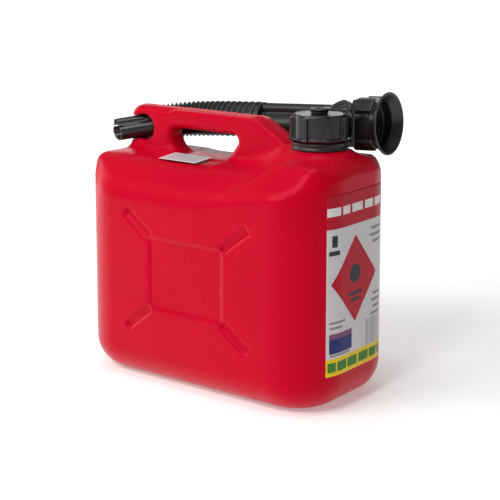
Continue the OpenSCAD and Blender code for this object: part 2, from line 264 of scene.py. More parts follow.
def surface(name, f, low, high, step, place=None):
    """The closed surface f = 0 as a mesh of even quads. place turns its points into the row frame."""
    points, quads = surface_net(sample(f, [np.arange(low[a], high[a] + step, step) for a in range(3)]))
    turned = np.roll(quads, -1, 1)
    here = np.concatenate([quads.ravel(), turned.ravel()])
    near = np.concatenate([turned.ravel(), quads.ravel()])
    points = settle(f, points * step + np.array(low), step)
    degree = np.maximum(np.bincount(here, minlength=len(points)), 1)
    for _ in range(2):
        # each point slides halfway to the middle of its neighbours, along the surface
        mean = [np.bincount(here, weights=points[near, a], minlength=len(points)) for a in range(3)]
        mean = np.stack(mean, 1) / degree[:, None]
        g = normals(f, points)
        shift = (mean - points) * 0.5
        shift -= (shift * g).sum(1)[:, None] * g
        points = settle(f, points + shift, step, 2)
    if place is not None:
        points = place(points)
    return quads_object(name, points * MM, quads)


def tube(name, rings, closed=False):
    """A closed mesh from rings of points, with flat ends, or with its last ring joined to its first."""
    n, count = len(rings[0]), len(rings)
    verts = [p for r in rings for p in r]
    faces = []
    for k in range(count if closed else count - 1):
        for i in range(n):
            j, after = (i + 1) % n, (k + 1) % count
            faces.append((k * n + i, k * n + j, after * n + j, after * n + i))
    if not closed:
        faces.append(tuple(range(n))[::-1])
        faces.append(tuple(range((count - 1) * n, count * n)))
    return make_object(name, verts, faces)


# ---------------------------------------------------------------- materials

NOISE_LOW, NOISE_HIGH = 0.3, 0.7  # the noise node keeps nearly all of its values between these
EDGE_SOFT = 0.00007  # half the width of a printed edge, in metres
DIAMOND_SOFT = 0.003


def grey_tone(value):
    return (value, value, value, 1)


class Paint:
    """A small builder of procedural materials."""

    def __init__(self, name):
        self.mat = bpy.data.materials.new(name)
        self.mat.use_nodes = True
        self.tree = self.mat.node_tree
        self.tree.nodes.clear()
        out = self.add("OutputMaterial")
        self.shader = self.add("BsdfPrincipled")
        self.tree.links.new(self.shader.outputs[0], out.inputs[0])
        self.place = self.add("TexCoord").outputs["Object"]

    def add(self, kind, **settings):
        node = self.tree.nodes.new("ShaderNode" + kind)
        for key, value in settings.items():
            setattr(node, key, value)
        return node

    def put(self, socket, value):
        if isinstance(value, bpy.types.NodeSocket):
            self.tree.links.new(value, socket)
        else:
            socket.default_value = value

    def set(self, **values):
        for key, value in values.items():
            self.put(self.shader.inputs[key.replace("_", " ")], value)

    def math(self, op, a, b=0.0):
        node = self.add("Math", operation=op)
        self.put(node.inputs[0], a)
        self.put(node.inputs[1], b)
        return node.outputs[0]

    def noise(self, scale, detail=3.0, rough=0.55, stretch=(1, 1, 1)):
        mapping = self.add("Mapping")
        self.put(mapping.inputs[0], self.place)
        self.put(mapping.inputs["Scale"], stretch)
        node = self.add("TexNoise")
        self.put(node.inputs["Vector"], mapping.outputs[0])
        for key, value in (("Scale", scale), ("Detail", detail), ("Roughness", rough)):
            self.put(node.inputs[key], value)
        return node.outputs[0]

    def range(self, value, a, b, c, d):
        """value from a to b becomes c to d."""
        node = self.add("MapRange", clamp=True)
        for i, v in enumerate((value, a, b, c, d)):
            self.put(node.inputs[i], v)
        return node.outputs[0]

    def spread(self, noise, low=0.0, high=1.0):
        """A noise stretched to go from low to high."""
        return self.range(noise, NOISE_LOW, NOISE_HIGH, low, high)

    def mix(self, factor, a, b):
        node = self.add("Mix", data_type="RGBA")
        for i, v in ((0, factor), (6, a), (7, b)):
            self.put(node.inputs[i], v)
        return node.outputs[2]

    def bump(self, *layers):
        """Layers are (height, strength, distance in metres)."""
        normal = None
        for height, strength, distance in layers:
            node = self.add("Bump")
            for key, value in (("Strength", strength), ("Distance", distance), ("Height", height)):
                self.put(node.inputs[key], value)
            if normal is not None:
                self.put(node.inputs["Normal"], normal)
            normal = node.outputs[0]
        self.put(self.shader.inputs["Normal"], normal)

    def xyz(self):
        node = self.add("SeparateXYZ")
        self.put(node.inputs[0], self.place)
        return node.outputs[0], node.outputs[1], node.outputs[2]

    # masks for printed patterns: 1 inside, 0 outside, with a narrow soft edge
    def below(self, value, limit):
        return self.range(value, limit - EDGE_SOFT, limit + EDGE_SOFT, 1.0, 0.0)

    def away(self, value, centre):
        return self.math("ABSOLUTE", self.math("SUBTRACT", value, centre))

    def rect(self, u, v, cu, cv, hu, hv):
        return self.math("MULTIPLY", self.below(self.away(u, cu), hu), self.below(self.away(v, cv), hv))

    def diamond(self, u, v, cu, cv, hu, hv):
        du = self.math("DIVIDE", self.away(u, cu), hu)
        dv = self.math("DIVIDE", self.away(v, cv), hv)
        return self.range(self.math("ADD", du, dv), 1 - DIAMOND_SOFT, 1 + DIAMOND_SOFT, 1.0, 0.0)

    def disc(self, u, v, cu, cv, r):
        du, dv = self.math("SUBTRACT", u, cu), self.math("SUBTRACT", v, cv)
        square = self.math("ADD", self.math("MULTIPLY", du, du), self.math("MULTIPLY", dv, dv))
        return self.below(self.math("SQRT", square), r)

    def any(self, masks):
        total = masks[0]
        for m in masks[1:]:
            total = self.math("MAXIMUM", total, m)
        return total


PLASTIC_IOR = 1.5
RED_DARK, RED_LIGHT = (0.50, 0.0003, 0.015, 1), (0.55, 0.0004, 0.018, 1)
RED_GLOSS_TINT = (1.0, 0.12, 0.2, 1)


def red_material():
    p = Paint("red_polyethylene")
    p.set(Base_Color=p.mix(p.spread(p.noise(14, 4)), RED_DARK, RED_LIGHT),
          Roughness=p.spread(p.noise(60, 4), 0.26, 0.34), IOR=PLASTIC_IOR,
          Specular_IOR_Level=0.3, Specular_Tint=RED_GLOSS_TINT)
    p.bump((p.noise(240, 2), 0.03, 0.00008))
    return p.mat


def black_material(name, base, low, high, grain, gloss=0.5):
    """base is the darkest tone, low to high the roughness, and grain the scale of the finest bump."""
    p = Paint(name)
    light, dusty = [c * 1.5 for c in base], [c * 1.9 + 0.002 for c in base]
    colour = p.mix(p.spread(p.noise(40, 4)), (*base, 1), (*light, 1))
    dust = p.range(p.noise(160, 4, 0.6), 0.55, 0.8, 0.0, 0.4)
    p.set(Base_Color=p.mix(dust, colour, (*dusty, 1)), Roughness=p.spread(p.noise(110, 4), low, high),
          IOR=PLASTIC_IOR, Specular_IOR_Level=gloss)
    p.bump((p.noise(70, 2), 0.12, 0.0003), (p.noise(grain, 3), 0.08, 0.00006))
    return p.mat


LABEL_WHITE = (0.60, 0.57, 0.58, 1), (0.66, 0.63, 0.64, 1)
LABEL_RED, LABEL_INK, LABEL_GREY = (0.46, 0.004, 0.02, 1), (0.035, 0.033, 0.04, 1), (0.24, 0.23, 0.24, 1)
LABEL_BLUE, LABEL_PURPLE = (0.022, 0.030, 0.16, 1), (0.20, 0.07, 0.16, 1)
LABEL_YELLOW, LABEL_GREEN, LABEL_TITLE = (0.80, 0.56, 0.012, 1), (0.045, 0.21, 0.03, 1), (0.74, 0.71, 0.71, 1)
HEADER_Z, FOOT_BAND_Z = (161.9, 162.1), (49.3, 49.5)
# bars that stand for all printing: (y, z, half width), in millimetres
TITLE_BARS = [(-34, 176.5, 7.4), (-18.5, 176.5, 5.4), (-2, 176.5, 8.0), (16, 176.5, 6.4), (31.5, 176.5, 6.6)]
RIGHT_BARS = [(29, 154, 9), (28, 148, 10), (30, 142, 8), (31, 95, 7), (30, 89, 8), (31, 83, 7), (29, 77, 8.5)]
LEFT_BARS = [(-29, 81, 10), (-31, 76.4, 7.5), (-25, 52, 13)]
DIAMOND_BARS = [(-4.4, 101.5, 10.5), (-4.4, 96, 7)]
FOOT_BARS = [(-36, 41.8, 4.4), (-23.5, 41.8, 6.4), (-8, 41.8, 7.2), (9.5, 41.8, 7.4), (25, 41.8, 6.2),
             (36.5, 41.8, 3.6)]


def label_material():
    """Printed film: plain bars and shapes stand for all printing."""
    p = Paint("label_print")
    _, y, z = p.xyz()
    colour = p.mix(p.spread(p.noise(300, 3)), *LABEL_WHITE)

    def bars(rows, half):
        return p.any([p.rect(y, z, cy * MM, cz * MM, wide * MM, half * MM) for cy, cz, wide in rows])

    def stripes():
        fast, slow = [p.math("SINE", p.math("MULTIPLY", y, rate)) for rate in (5200.0, 2310.0)]
        wave = p.math("ADD", fast, slow)
        return p.math("MULTIPLY", bars([(24.0, 62.0, 10.5)], 12.0), p.range(wave, 0.05, 0.25, 0.0, 1.0))

    size_mark = p.any([bars([(-33.5, 151.5, 3.0)], 5.0), bars([(-33.5, 141.5, 6.0)], 2.0)])
    layers = [
        (p.range(z, HEADER_Z[0] * MM, HEADER_Z[1] * MM, 0.0, 1.0), LABEL_RED),
        (bars(TITLE_BARS, 3.6), LABEL_TITLE),
        # a plain diamond with a round spot and two bars, which stand for no sign
        (p.diamond(y, z, -4.4 * MM, 114.5 * MM, 33.1 * MM, 38.4 * MM), LABEL_RED),
        (p.disc(y, z, -4.4 * MM, 119 * MM, 8.2 * MM), LABEL_INK),
        (bars(DIAMOND_BARS, 1.5), LABEL_INK),
        # the size mark and the small print
        (size_mark, LABEL_INK),
        (bars(RIGHT_BARS, 1.3), LABEL_GREY),
        (bars(LEFT_BARS, 1.0), LABEL_GREY),
        # a two-tone block, and a strip of upright bars
        (bars([(-24.0, 62.5, 15.0)], 8.8), LABEL_BLUE),
        (bars([(-24.0, 68.9, 15.0)], 2.4), LABEL_PURPLE),
        (stripes(), LABEL_GREY),
        # the band at the foot
        (p.range(z, FOOT_BAND_Z[0] * MM, FOOT_BAND_Z[1] * MM, 1.0, 0.0), LABEL_YELLOW),
        (bars(FOOT_BARS, 4.2), LABEL_GREEN),
    ]
    for mask, paint in layers:
        colour = p.mix(mask, colour, paint)
    p.set(Base_Color=colour, Roughness=p.spread(p.noise(180, 3), 0.30, 0.40), IOR=PLASTIC_IOR,
          Specular_IOR_Level=0.15)
    p.bump((p.noise(26, 2), 0.3, 0.0006), (p.noise(500, 2), 0.05, 0.0001))
    return p.mat


def silver_material():
    p = Paint("silver_film")
    x, y, _ = p.xyz()
    brushed = p.noise(420, 4, 0.6, (0.08, 1, 1))
    tone = p.mix(p.spread(brushed), (0.56, 0.55, 0.57, 1), (0.66, 0.65, 0.67, 1))
    inner = p.rect(x, y, -36.5 * MM, -25.0 * MM, 19.6 * MM, 10.2 * MM)
    p.set(Base_Color=p.mix(inner, (0.74, 0.73, 0.73, 1), tone), Metallic=p.range(inner, 0.0, 1.0, 0.05, 0.3),
          Roughness=p.spread(brushed, 0.34, 0.5))
    p.bump((p.noise(60, 2), 0.2, 0.0004))
    return p.mat


RED = red_material()
BLACK = black_material("black_moulding", (0.0105, 0.0092, 0.0092), 0.24, 0.36, 1600)
SATIN = black_material("black_satin", (0.012, 0.0105, 0.0105), 0.34, 0.46, 1300, 0.45)
FLEX = black_material("black_flexible", (0.013, 0.0118, 0.0112), 0.30, 0.42, 900)
RUBBER = black_material("seal_rubber", (0.011, 0.011, 0.011), 0.6, 0.75, 1800, 0.3)
LABEL = label_material()
SILVER = silver_material()


def coat(obj, material):
    obj.data.materials.clear()
    obj.data.materials.append(material)


def finish_piece(obj, material, body, slot, *nodes):
    """Gives a piece its material and its body, and hides the CAD nodes that it replaces. slot is not used."""
    coat(obj, material)
    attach(obj, body)
    if nodes:
        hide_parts(*nodes)


# ---------------------------------------------------------------- the can

HALF_L, HALF_D, CORNER, FOOT_R = 135.0, 70.0, 48.0, 29.0
DRAFT, DRAFT_Z = 0.009, 34  # the walls lean in by this much for each millimetre above DRAFT_Z
NECK_X, CONE_Z = 92.4, 221.5
NOZZLE_END = np.array([-128.0, -22.0, 219.0])
YAW, RISE = math.radians(40), math.radians(9)
NOZZLE_DIR = np.array([math.cos(RISE) * math.cos(YAW), math.cos(RISE) * math.sin(YAW), math.sin(RISE)])
BARREL_START = np.array([0.5, 41.1, 233.4])
NUT_RIM = np.array([131.0, 51.0, 240.0])
BARREL_LENGTH = float(np.linalg.norm(NUT_RIM - BARREL_START))
BARREL_DIR = (NUT_RIM - BARREL_START) / BARREL_LENGTH

# the handle from the side
HANDLE = ([(-120, 190)] + arc(-102, 225.8, 18, 180, 90, 10) + arc(26, 223.8, 20, 90, 60, 4)
          + [(62, 226.3), (67, 221.5), (67, 190)])
# the part of the handle whose top edges are sharper
PLATE = ([(-76, 190)] + arc(-58.5, 225.3, 17.5, 180, 90, 8) + arc(26, 222.8, 20, 90, 60, 4)
         + [(61.5, 225.2), (66, 221), (66, 190)])
GAP = (arc(-48, 220, 18, 270, 190, 7) + arc(-59, 218.9, 7, 180, 90, 5) + arc(5.6, 220.5, 5.4, 90, -20, 6)
       + arc(-6, 210.5, 9, -20, -60, 3) + [(-8, 202)])
PLATE_HALF, HANDLE_RIGHT = 11.5, 67
# the rounded left end, seen from above: how far left its centre is, and its radius
HANDLE_NOSE = ((108.2, 12.3), (108.5, 11.5))

# the bellows follows this curve from the nozzle to the barrel
NOZZLE_LENGTH, REAR_BEND, FRONT_BEND = 50, 24.0, 50.0
BELLOWS_START = NOZZLE_END + NOZZLE_LENGTH * NOZZLE_DIR
CURVE = [BELLOWS_START, BELLOWS_START + REAR_BEND * NOZZLE_DIR,
         BARREL_START - FRONT_BEND * BARREL_DIR, BARREL_START]


def bend_at(t):
    """A point of the bellows' curve, and the way that it runs there."""
    a, b, c, d = CURVE
    point = (1 - t) ** 3 * a + 3 * (1 - t) ** 2 * t * b + 3 * (1 - t) * t * t * c + t ** 3 * d
    way = (1 - t) ** 2 * (b - a) + 2 * (1 - t) * t * (c - b) + t * t * (d - c)
    return point, way / np.linalg.norm(way)


# the pressed pattern: a square panel, and a groove out from each of its corners
PANEL_X, PANEL_Z, PANEL_U, PANEL_V, PANEL_DEPTH = -1.6, 104, 41.4, 32.8, 1.5
ARM_U, ARM_V, ARM_MIDDLE, ARM_REACH = 0.7947, 0.6070, 17.2, 17.6
GROOVE_DEPTH, GROOVE_HALF, GROOVE_SLOPE, RELIEF_SHARE = 3.3, 5.2, 4.2, 0.97


def relief(x, z):
    """Depth of the pressed pattern on the two large faces."""
    u, v = np.abs(x - PANEL_X) - PANEL_U, np.abs(z - PANEL_Z) - PANEL_V
    panel = PANEL_DEPTH * step_up(-np.maximum(u, v), -1.2, 2.0)
    along, across = u * ARM_U + v * ARM_V, v * ARM_U - u * ARM_V
    groove = GROOVE_DEPTH * np.clip((GROOVE_HALF - np.abs(across)) / GROOVE_SLOPE, 0, 1)
    groove = groove * step_up(ARM_REACH - np.abs(along - ARM_MIDDLE), -0.4, 1.2)
    return np.maximum(panel, groove)


# where the stowed spout runs: a slanted bore, a hole through the pillar, a seat for the bellows and a notch
BORE_R, HOLE_X, HOLE_Z, HOLE_R = 11.6, -98.5, 223.6, 12.4
SEAT_R, SEAT_FROM, SEAT_LINE = 18.0, 47.7, [bend_at(k / 10)[0] for k in range(8)]
NOTCH_X, NOTCH_Y, NOTCH_Z, NOTCH_R = -84, 14, 230, 12


def passage(x, y, z):
    """What is cut out of the handle's pillar for the stowed spout."""
    p = [x - NOZZLE_END[0], y - NOZZLE_END[1], z - NOZZLE_END[2]]
    t = p[0] * NOZZLE_DIR[0] + p[1] * NOZZLE_DIR[1] + p[2] * NOZZLE_DIR[2]
    bore = np.sqrt(np.maximum(p[0] ** 2 + p[1] ** 2 + p[2] ** 2 - t * t, 1e-6)) - BORE_R
    hole = np.hypot(x - HOLE_X, z - HOLE_Z) - HOLE_R
    seat = np.maximum(line_distance(SEAT_LINE, x, y, z) - SEAT_R, SEAT_FROM - t)
    notch = np.maximum(np.hypot(x - NOTCH_X, y - NOTCH_Y) - NOTCH_R, NOTCH_Z - z)
    return join(join(np.minimum(bore, seat), hole, 1.5), notch, 2.0)


# the tank's top: a nearly flat crown that falls off outside CROWN_FLAT, and a slope on each side
CROWN_Z, CROWN_FLAT, CROWN_FALL, CROWN_SCALE, CROWN_R = 204, 12, 0.0813, 0.997, 6
SLOPE_Y, SLOPE_Z, SLOPE_OUT, SLOPE_UP = 44, 201.4, 0.669, 0.743
# the raised block under the neck, with a slanted facet on each side and a ramp towards the handle
BLOCK_Z, BLOCK_R, FACET_SCALE = 213.5, 4, 1.61
FACET_X, FACET_Z, FACET_RISE, FACET_SLOPE = 81, 181, 0.107, 1.258
RAMP_X, RAMP_Z, RAMP_OUT, RAMP_UP = 58, 198, 0.5425, 0.840
# the slanted webs between the block and the handle
WEB_X, WEB_Z, WEB_RISE, WEB_SLOPE, WEB_SCALE = 34, 208.4, 0.332, 0.70, 0.79
WEB_LEFT, WEB_RIGHT, WEB_TOP = 20, 92, 219
# the cone that the neck stands on
CONE_R, CONE_LOW, CONE_SLOPE, CONE_SCALE = 38, 212.5, 11 / 9, 0.633
# the rounding of the top edge: more at the left end, less on the right half, and more again at the right end
EDGE_R, EDGE_LEFT, EDGE_LESS, EDGE_RIGHT = 9, 15, 3.5, 10


def tank_top(x, y, z, ay):
    crown = (z - CROWN_Z + CROWN_FALL * np.maximum(ay - CROWN_FLAT, 0)) * CROWN_SCALE
    top = meet(crown, (ay - SLOPE_Y) * SLOPE_OUT + (z - SLOPE_Z) * SLOPE_UP, CROWN_R)
    facet = (z - (FACET_Z + FACET_RISE * (x - FACET_X) + FACET_SLOPE * (HALF_D - ay))) / FACET_SCALE
    ramp = (z - RAMP_Z) * RAMP_UP - (x - RAMP_X) * RAMP_OUT
    block = meet(meet(z - BLOCK_Z, facet, BLOCK_R), ramp, BLOCK_R)
    web = (z - (WEB_Z + WEB_RISE * (x - WEB_X) + WEB_SLOPE * (PLATE_HALF - ay))) * WEB_SCALE
    web = np.maximum(meet(meet(web, x - WEB_RIGHT, 4), z - WEB_TOP, 2), WEB_LEFT - x)
    top = join(top, join(block, web, 3), 5)
    cone = (np.hypot(x - NECK_X, y) - (CONE_R - (z - CONE_LOW) * CONE_SLOPE)) * CONE_SCALE
    return join(top, meet(cone, z - CONE_Z, 2.5), 6)


def handle(x, y, z, ay):
    (nose_x, nose_r), (flat_x, flat_r) = HANDLE_NOSE
    bar = meet(polygon(HANDLE, x, z), np.hypot(np.minimum(x + nose_x, 0), y) - nose_r, 9.5)
    bar = np.maximum(bar, np.hypot(np.minimum(x + flat_x, 0), y) - flat_r)
    bar = meet(bar, x - HANDLE_RIGHT, 4)
    return np.minimum(bar, meet(polygon(PLATE, x, z), ay - PLATE_HALF, 1.8))


def can_shape(x, y, z):
    ay = np.abs(y)
    wall = box_round(x, y, HALF_L, HALF_D, CORNER) + DRAFT * np.maximum(z - DRAFT_Z, 0)
    low = meet(wall, -z, FOOT_R) + relief(x, z) * step_up(ay, 50, 60) * RELIEF_SHARE
    edge = (EDGE_R + EDGE_LEFT * step_up(-x, 96, 124) * (1 - step_up(ay, 16, 42))
            - EDGE_LESS * step_up(x, 0, 60) + EDGE_RIGHT * step_up(x, 104, 128))
    body = meet(low, tank_top(x, y, z, ay), edge)
    body = join(body, handle(x, y, z, ay), 6.5)
    body = cut(body, polygon(GAP, x, z), 6.5)
    return cut(body, passage(x, y, z), 2.0)


STEP = 1.75
FINE = 0.6
MIDDLE = 0.8

skin = surface("can_moulding", can_shape, (-138.1, -73.1, -3.1), (138.3, 73.3, 250), STEP)
finish_piece(skin, RED, "can", "red_plastic", *CAN_NODES)

NECK_R, NECK_BORE_R, NECK_TOP, NECK_ROOT = 18.4, 15.9, 247.4, 214
NECK_THREAD = (18.2, 19.9, 235.2, 2)


def neck_shape(x, y, z):
    rad = np.hypot(x, y)
    neck = meet(rad - NECK_R, np.maximum(z - NECK_TOP, NECK_ROOT - z), 0.7)
    neck = join(neck, thread(rad, np.mod(np.arctan2(y, x), TURN), z, *NECK_THREAD), 0.35)
    return cut(neck, np.maximum(rad - NECK_BORE_R, NECK_ROOT + 2 - z), 0.7)


def at_neck(p):
    return p + np.array([NECK_X, 0, 0])


neck = surface("can_neck_thread", neck_shape, (-21.2, -21.2, 213), (21.3, 21.3, 249), FINE, at_neck)
finish_piece(neck, RED, "can", "red_plastic")

# the mould's parting line over the handle's top, a low ridge
SEAM_HEIGHT, SEAM_HALF, SEAM_SINK, SEAM_SIDES = 0.55, 0.6, 0.12, 8
SEAM_END, SEAM_LAST_WAY = (67, 222.6), (5, -3.7)


def seam_rings():
    line = [q for q in HANDLE[1:] if q[0] < 63 and q[1] > 222] + [SEAM_END]
    ways = [(bx - ax, bz - az) for (ax, az), (bx, bz) in zip(line, line[1:])] + [SEAM_LAST_WAY]
    rings = []
    for (x, z), (dx, dz) in zip(line, ways):
        tilt = math.atan2(dz, dx)
        ring = []
        for k in range(SEAM_SIDES):
            a = TURN * k / SEAM_SIDES
            high = SEAM_HEIGHT * math.sin(a)
            ring.append(((x - math.sin(tilt) * high) * MM, SEAM_HALF * math.cos(a) * MM,
                         (z + math.cos(tilt) * high - SEAM_SINK) * MM))
        rings.append(ring)
    return rings


seam = tube("can_parting_line", seam_rings())
finish_piece(seam, RED, "can", "red_plastic")

# ---------------------------------------------------------------- cap

CAP_LUGS, LUG_START = 8, math.radians(5)
CAP_LOW, CAP_TOP, CAP_R, CAP_BORE_R, CAP_BORE_TOP = 230.3, 251.5, 22.9, 20.4, 249.6
CAP_RIM_R, CAP_RIM_BORE_R, CAP_RIM_TOP = 22.3, 21.0, 251.9
FLANGE_R, FLANGE_TOP = 24.3, 231.9
LUG_R, LUG_HALF, LUG_TOP, LUG_FOOT_R, LUG_FOOT_HALF, LUG_ROOT = 26.0, 2.3, 249.6, 26.9, 3.0, 18
CAP_THREAD = (20.5, 18.95, 234.4, 2)
STUD_R, STUD_LOW, STUD_TOP = 3.6, 251, 253.2
HEAD_R, HEAD_LOW, HEAD_TOP, HEAD_TAPER = 4.9, 252.9, 254.0, 0.64


def wedge(ang, start, count):
    """The angle from the middle of the nearest of count equal parts."""
    part = TURN / count
    return ang - start - part * np.round((ang - start) / part)


def cap_shape(x, y, z):
    rad, ang = np.hypot(x, y), np.arctan2(y, x)
    local = wedge(ang, LUG_START, CAP_LUGS)
    u, v = rad * np.cos(local), rad * np.sin(local)

    def layer(top):
        return np.maximum(z - top, CAP_LOW - z)

    rim = meet(rad - CAP_RIM_R, np.maximum(z - CAP_RIM_TOP, 240 - z), 0.5)
    rim = cut(rim, rad - CAP_RIM_BORE_R, 0.4)
    lug = meet(meet(u - LUG_R, np.abs(v) - LUG_HALF, 0.6), layer(LUG_TOP), 0.7)
    foot = meet(meet(u - LUG_FOOT_R, np.abs(v) - LUG_FOOT_HALF, 0.6), layer(FLANGE_TOP), 0.5)
    lug, foot = np.maximum(lug, LUG_ROOT - u), np.maximum(foot, LUG_ROOT - u)
    drum = join(meet(rad - CAP_R, layer(CAP_TOP), 1.3), meet(rad - FLANGE_R, layer(FLANGE_TOP), 0.5), 0.8)
    cap = np.minimum(join(drum, join(lug, foot, 0.5), 0.7), rim)
    cap = cut(cap, np.maximum(rad - CAP_BORE_R, slab(z, 200, CAP_BORE_TOP)), 0.5)
    cap = np.minimum(cap, thread(rad, np.mod(ang, TURN), z, *CAP_THREAD))
    stud = np.maximum(rad - STUD_R, slab(z, STUD_LOW, STUD_TOP))
    head_r = HEAD_R - np.maximum(z - HEAD_LOW, 0) * HEAD_TAPER
    head = meet(rad - head_r, slab(z, HEAD_LOW, HEAD_TOP), 0.3)
    return np.minimum(cap, np.minimum(stud, head))


cap = surface("cap_moulding", cap_shape, (-28.2, -28.2, 228.6), (28.3, 28.3, 255.2), FINE, at_neck)
finish_piece(cap, BLACK, "cap", "black_plastic", "screw_cap")

# ---------------------------------------------------------------- strap and ring, one soft moulding

STRAP_ANGLE = math.radians(40)
# the middle of the band, from the stud outwards and down to the ring: (distance from the axis, height)
STRAP_PATH = [(4, 255.35), (7, 255.35), (10, 255.7), (13, 256.6), (16, 257.9), (20, 259.6),
              (23.5, 260.5), (26, 260.0), (27.8, 258.0), (28.6, 254.6), (28.7, 250), (28.7, 243),
              (28.7, 235), (28.7, 226)]
BAND_THICK, BAND_HALF, BAND_WAIST, BAND_ROLL = 0.9, 5.2, 0.5, 0.45
EYE_R, EYE_LOW, EYE_TOP, BOSS_R, BOSS_LOW, BOSS_TOP = 8.3, 254.55, 256.05, 7.4, 251.85, 255
EYE_HOLE_R, HEAD_ROOM_R, HEAD_ROOM_TOP = 4.1, 5.3, 254.15
RING_R, RING_BORE_R, RING_LOW, RING_TOP = 23.8, 19.0, 221.8, 228.4
RING_GROOVE_R, RING_GROOVE_Z, RING_GROOVE_SIZE = 24.4, 225.3, 1.35
TAB_HALF, TAB_LOW, TAB_IN, TAB_OUT = 4.5, 222.8, 20, 29.4


def smooth_path(points, per):
    """A curve through the points, with this many steps between each two."""
    p = np.array(points, float)
    p = np.vstack([2 * p[0] - p[1], p, 2 * p[-1] - p[-2]])
    out = []
    for a, b, c, d in zip(p, p[1:], p[2:], p[3:]):
        for k in range(per):
            t = k / per
            out.append(0.5 * (2 * b + (c - a) * t + (2 * a - 5 * b + 4 * c - d) * t * t
                              + (3 * b - a - 3 * c + d) * t ** 3))
    out.append(p[-2])
    return [tuple(q) for q in out]


STRAP_CURVE = smooth_path(STRAP_PATH, 4)


def strap_shape(x, y, z):
    u = x * math.cos(STRAP_ANGLE) + y * math.sin(STRAP_ANGLE)
    v = -x * math.sin(STRAP_ANGLE) + y * math.cos(STRAP_ANGLE)
    rad = np.hypot(x, y)
    roll = BAND_ROLL * step_up(u, 7, 15) * (1 - step_up(u, 19, 26.5))
    band = (line_distance(STRAP_CURVE, u, z - roll * v) - BAND_THICK) / np.sqrt(1 + roll ** 2)
    width = BAND_HALF - BAND_WAIST * step_up(u, 8, 20) * (1 - step_up(u, 24, 28))
    band = meet(band, np.abs(v) - width, 0.45)
    boss = meet(rad - BOSS_R, slab(z, BOSS_LOW, BOSS_TOP), 0.35)
    eye = join(meet(rad - EYE_R, slab(z, EYE_LOW, EYE_TOP), 0.5), boss, 0.6)
    hole = np.minimum(rad - EYE_HOLE_R, np.maximum(rad - HEAD_ROOM_R, z - HEAD_ROOM_TOP))
    top = cut(join(eye, band, 1.2), hole, 0.3)
    ring = meet(rad - RING_R, slab(z, RING_LOW, RING_TOP), 0.9)
    groove = np.hypot(rad - RING_GROOVE_R, (z - RING_GROOVE_Z) * 0.8) - RING_GROOVE_SIZE
    ring = cut(ring, groove, 0.5)
    ring = cut(ring, np.maximum(rad - RING_BORE_R, slab(z, 210, 240)), 0.6)
    tab = meet(meet(slab(u, TAB_IN, TAB_OUT), np.abs(v) - TAB_HALF, 0.8), slab(z, TAB_LOW, RING_TOP), 0.8)
    return join(top, join(ring, tab, 1.0), 0.8)


strap = surface("cap_tether", strap_shape, (-27.2, -27.2, 220.3), (31.2, 31.2, 268.0), FINE, at_neck)
coat(strap, FLEX)
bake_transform(strap)
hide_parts("tether_ring", "cap_strap")

# ---------------------------------------------------------------- spout


def across_and_up(way):
    across = np.cross(way, [0, 0, 1.0])
    across /= np.linalg.norm(across)
    return across, np.cross(across, way)


def frame_of(start, direction):
    """Turns points (across, up, along) into the row frame."""
    across, up = across_and_up(direction)

    def place(p):
        return start + p[:, :1] * across + p[:, 1:2] * up + p[:, 2:] * direction
    return place


# the two tubes, each with its radius and its height over the axis: outside and bore
NOZZLE_TUBE, NOZZLE_VENT = (8.3, 6.9, -2.3), (4.0, 2.9, 6.3)
BARREL_TUBE, BARREL_VENT = (11.5, 10.1, -4.0), (5.0, 3.4)
BARREL_VENT_UP, BARREL_VENT_BORE_UP = 10.4, 9.0
SPIGOT_R, COLLAR_R = 12.7, 15.8
NOZZLE_SLANT, SLOT_UP, SLOT_HALF, SLOT_END = math.radians(28), 3.1, 0.55, 11.3
COLLAR_END, NECK_END = BARREL_LENGTH - 34, BARREL_LENGTH - 22
RIM_DISC_R, COLLAR_GROOVE_R, COLLAR_GROOVE_SIZE = 18.6, 16.2, 0.75


def nozzle_shape(u, v, t):
    (tube_r, tube_bore, tube_up), (vent_r, vent_bore, vent_up) = NOZZLE_TUBE, NOZZLE_VENT
    out = join(np.hypot(u, v - tube_up) - tube_r, np.hypot(u, v - vent_up) - vent_r, 1.2)
    out = meet(out, slab(t, -3, NOZZLE_LENGTH), 0.5)
    collar = meet(np.hypot(u, v) - COLLAR_R, slab(t, 48, NOZZLE_LENGTH), 0.5)
    spigot = meet(np.hypot(u, v) - SPIGOT_R, slab(t, 49, 56), 0.8)
    out = np.minimum(join(out, collar, 1.5), spigot)
    out = cut(out, np.maximum(np.hypot(u, v - tube_up) - tube_bore, t - 58), 0.35)
    out = cut(out, np.maximum(np.hypot(u, v - vent_up) - vent_bore, t - 58), 0.3)
    # the slanted end, and the slot between the two mouths
    slant = (t - (u + tube_r) * math.tan(NOZZLE_SLANT)) * math.cos(NOZZLE_SLANT)
    out = meet(out, -slant, 0.35)
    return cut(out, np.maximum(np.abs(v - SLOT_UP) - SLOT_HALF, t - SLOT_END), 0.2)


